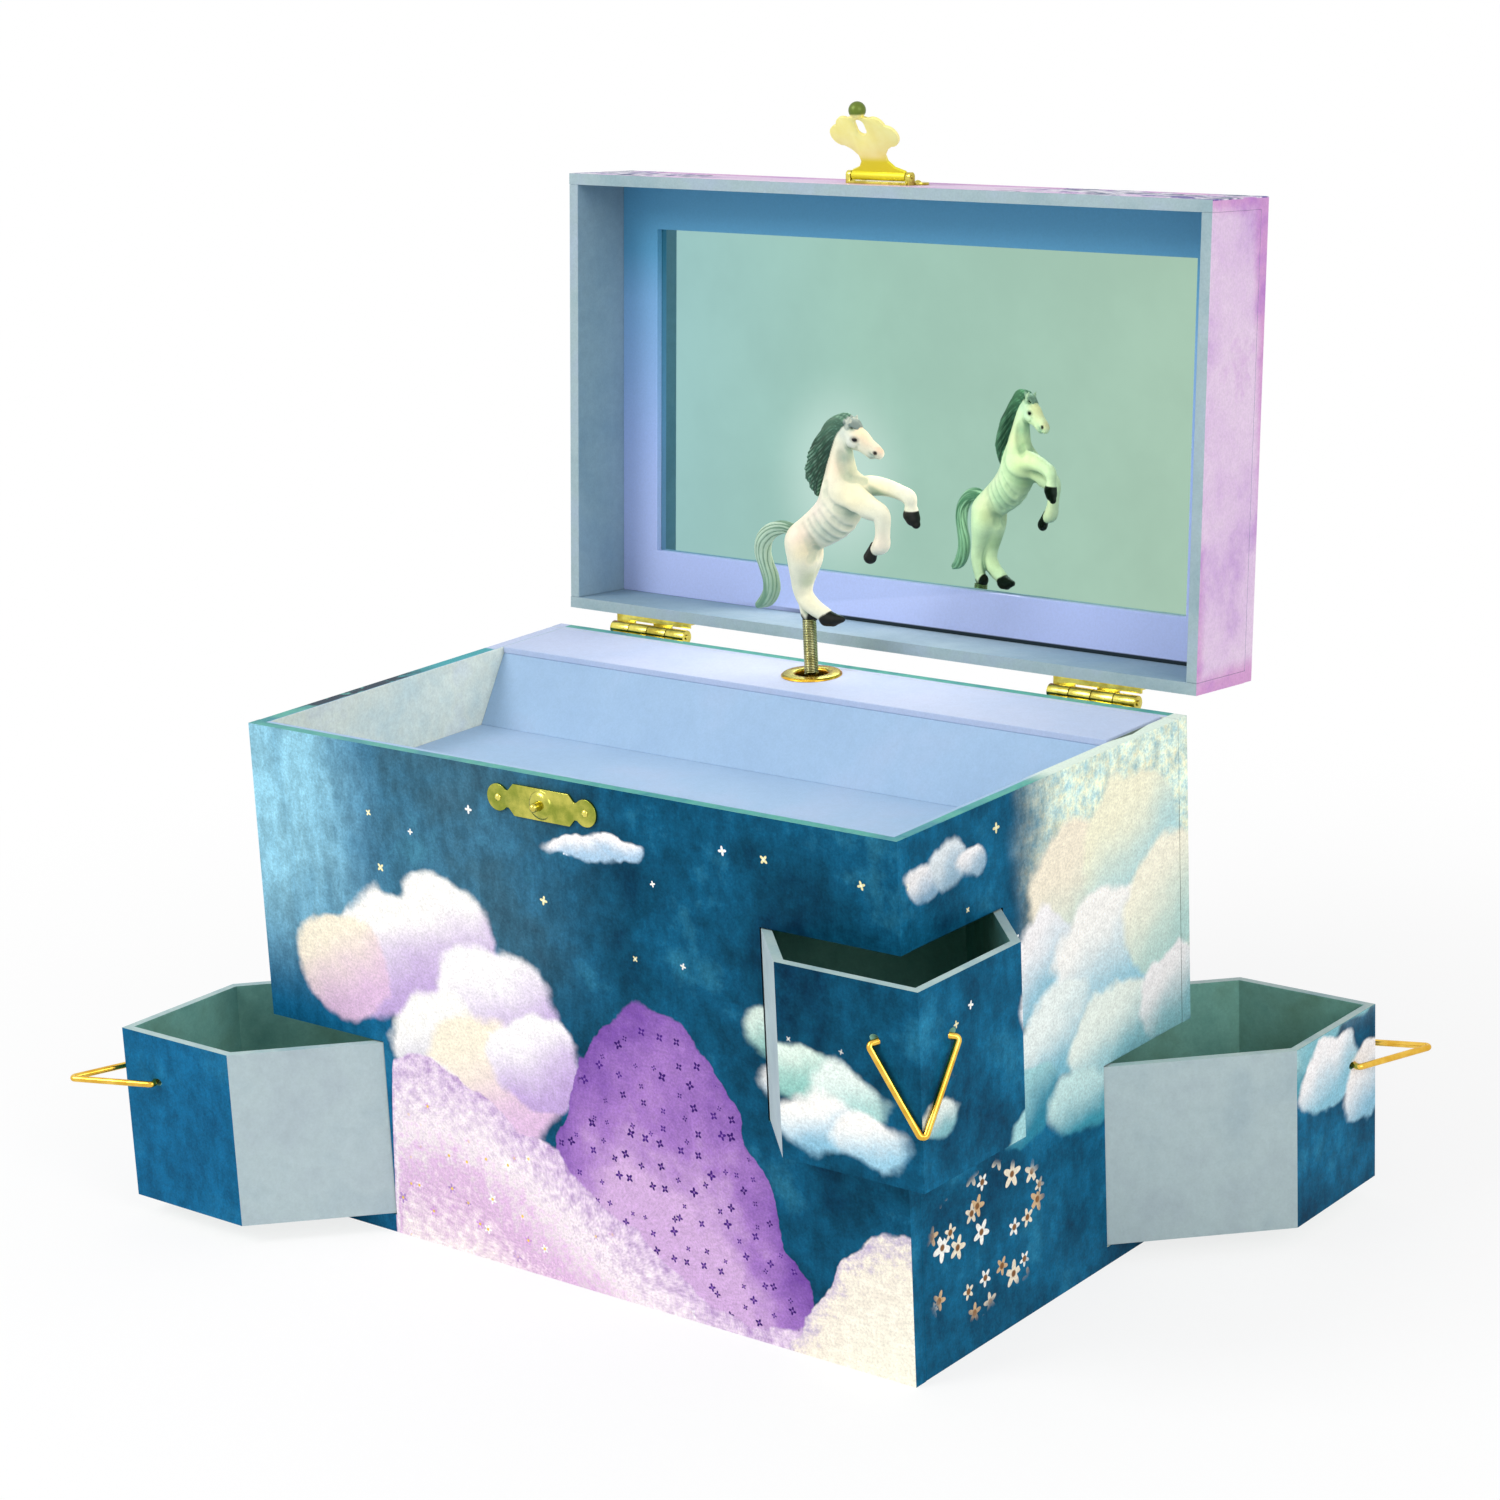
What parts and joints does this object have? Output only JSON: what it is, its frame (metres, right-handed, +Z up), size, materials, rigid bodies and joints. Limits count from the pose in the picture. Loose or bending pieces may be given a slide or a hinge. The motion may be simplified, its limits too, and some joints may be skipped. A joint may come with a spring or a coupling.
{
  "type": "musical jewellery box",
  "caption": "Musical jewellery box with a mirrored lid, a tray, corner drawers on diagonal slides and a horse figure on a folding spring.",
  "frame": {"origin": "middle of the underside of the box", "axes": "+X along the front to the right, +Y from the front to the back, +Z up; the lid is open and three drawers are part way out at rest"},
  "size_m": [0.3322, 0.2358, 0.3174],
  "materials": {
    "outer_board": "board under satin printed paper",
    "inner_board": "board under plain grey paper",
    "paper_card": "card under satin printed paper",
    "drawer_board": "board under satin printed paper",
    "drawer_floor": "board under dark matte paper",
    "lid_board": "board under satin printed paper",
    "mirror_glass": "silvered glass",
    "brass": "polished",
    "gilt_rosette": "bright gilt",
    "gilt_spring": "close-wound wire, polished",
    "figure_white": "hand-painted cream white",
    "steel": "brushed"
  },
  "bodies": {
    "box": {"base_board": "inner_board", "front_panel": "outer_board", "back_panel": "outer_board", "left_panel": "outer_board", "right_panel": "outer_board", "divider_board": "inner_board", "tray_deck": "inner_board", "tray_lining": "paper_card", "step_face": "paper_card", "step_top": "paper_card", "guide_front_left": "paper_card", "guide_front_right": "paper_card", "guide_back_left": "paper_card", "guide_back_right": "paper_card", "hinge_body_leaf_left": "brass", "hinge_body_leaf_right": "brass", "hinge_pins": "brass", "hinge_body_nails": "brass", "catch_plate": "brass", "catch_stud": "brass", "catch_nails": "brass", "rosette": "gilt_rosette", "movement_frame": "steel", "movement_screws": "steel", "note_comb": "steel", "comb_screws": "brass"},
    "lid": {"lid_top": "lid_board", "lid_front": "lid_board", "lid_back": "lid_board", "lid_left": "lid_board", "lid_right": "lid_board", "mirror_frame": "paper_card", "mirror": "mirror_glass", "hinge_lid_leaf_left": "brass", "hinge_lid_leaf_right": "brass", "hinge_lid_nails": "brass", "latch_base": "brass", "latch_pin": "brass", "latch_nails": "brass"},
    "latch": {"latch_flap": "brass"},
    "drawer_front_left": {"drawer_front_left": "drawer_board", "drawer_bottom_front_left": "drawer_floor"},
    "bail_front_left": {"bail_front_left": "brass"},
    "drawer_front_right": {"drawer_front_right": "drawer_board", "drawer_bottom_front_right": "drawer_floor"},
    "bail_front_right": {"bail_front_right": "brass"},
    "drawer_back_left": {"drawer_back_left": "drawer_board", "drawer_bottom_back_left": "drawer_floor"},
    "bail_back_left": {"bail_back_left": "brass"},
    "drawer_back_right": {"drawer_back_right": "drawer_board", "drawer_bottom_back_right": "drawer_floor"},
    "bail_back_right": {"bail_back_right": "brass"},
    "figure_spring": {"spring_post": "gilt_spring"},
    "figure": {"horse": "figure_white"},
    "cylinder": {"pinned_cylinder": "brass"},
    "barrel": {"spring_barrel": "brass"},
    "winding": {"winding_arbor": "steel", "winding_key": "brass"},
    "fan": {"governor_fan": "brass"}
  },
  "joints": [
    {"name": "lid_hinge", "type": "hinge", "parent": "box", "child": "lid", "pos_m": [0, 0.07365, 0.1505], "axis": [1, 0, 0], "range_deg": [0, 94.86]},
    {"name": "latch_hinge", "type": "hinge", "parent": "lid", "child": "latch", "pos_m": [-0.0026, 0.09543, 0.29457], "axis": [1, 0, 0], "range_deg": [-105, 55]},
    {"name": "drawer_slide_front_left", "type": "slide", "parent": "box", "child": "drawer_front_left", "axis": [-0.7071, -0.7071, 0], "range_m": [-0.0451, 0.0149]},
    {"name": "drawer_slide_front_right", "type": "slide", "parent": "box", "child": "drawer_front_right", "axis": [0.7071, -0.7071, 0], "range_m": [-0.0268, 0.0332]},
    {"name": "drawer_slide_back_left", "type": "slide", "parent": "box", "child": "drawer_back_left", "axis": [-0.7071, 0.7071, 0], "range_m": [0, 0.06]},
    {"name": "drawer_slide_back_right", "type": "slide", "parent": "box", "child": "drawer_back_right", "axis": [0.7071, 0.7071, 0], "range_m": [-0.0547, 0.0053]},
    {"name": "bail_swing_front_left", "type": "hinge", "parent": "drawer_front_left", "child": "bail_front_left", "pos_m": [-0.14239, -0.09414, 0.045], "axis": [0.7071, -0.7071, 0], "range_deg": [-65, 65]},
    {"name": "bail_swing_front_right", "type": "hinge", "parent": "drawer_front_right", "child": "bail_front_right", "pos_m": [0.12945, -0.0812, 0.105], "axis": [0.7071, 0.7071, 0], "range_deg": [-130, 0]},
    {"name": "bail_swing_back_left", "type": "hinge", "parent": "drawer_back_left", "child": "bail_back_left", "pos_m": [-0.1105, 0.06225, 0.105], "axis": [-0.7071, -0.7071, 0], "range_deg": [-130, 0]},
    {"name": "bail_swing_back_right", "type": "hinge", "parent": "drawer_back_right", "child": "bail_back_right", "pos_m": [0.14918, 0.10093, 0.045], "axis": [-0.7071, 0.7071, 0], "range_deg": [-65, 65]},
    {"name": "cylinder_spin", "type": "hinge", "parent": "box", "child": "cylinder", "pos_m": [-0.0047, 0.055, 0.127], "axis": [0, 0, 1], "continuous": true},
    {"name": "barrel_spin", "type": "hinge", "parent": "box", "child": "barrel", "pos_m": [-0.0047, 0.0555, 0.1003], "axis": [0, 1, 0], "continuous": true},
    {"name": "fan_spin", "type": "hinge", "parent": "box", "child": "fan", "pos_m": [-0.0137, 0.055, 0.144], "axis": [0, 0, 1], "continuous": true},
    {"name": "key_turn", "type": "hinge", "parent": "box", "child": "winding", "pos_m": [-0.0047, 0.072, 0.1003], "axis": [0, 1, 0], "continuous": true},
    {"name": "figure_fold", "type": "hinge", "parent": "box", "child": "figure_spring", "pos_m": [-0.0047, 0.055, 0.1565], "axis": [1, 0, 0], "range_deg": [0, 86], "deforming": ["spring_post"]},
    {"name": "figure_spin", "type": "hinge", "parent": "figure_spring", "child": "figure", "pos_m": [-0.0047, 0.055, 0.168], "axis": [0, 0, 1], "continuous": true}
  ],
  "couplings": [
    {"joint": "figure_fold", "follows": "lid_hinge", "ratio": 0.9066},
    {"joint": "figure_spin", "follows": "cylinder_spin", "ratio": 1},
    {"joint": "barrel_spin", "follows": "cylinder_spin", "ratio": -0.28571},
    {"joint": "fan_spin", "follows": "cylinder_spin", "ratio": -3.5}
  ]
}
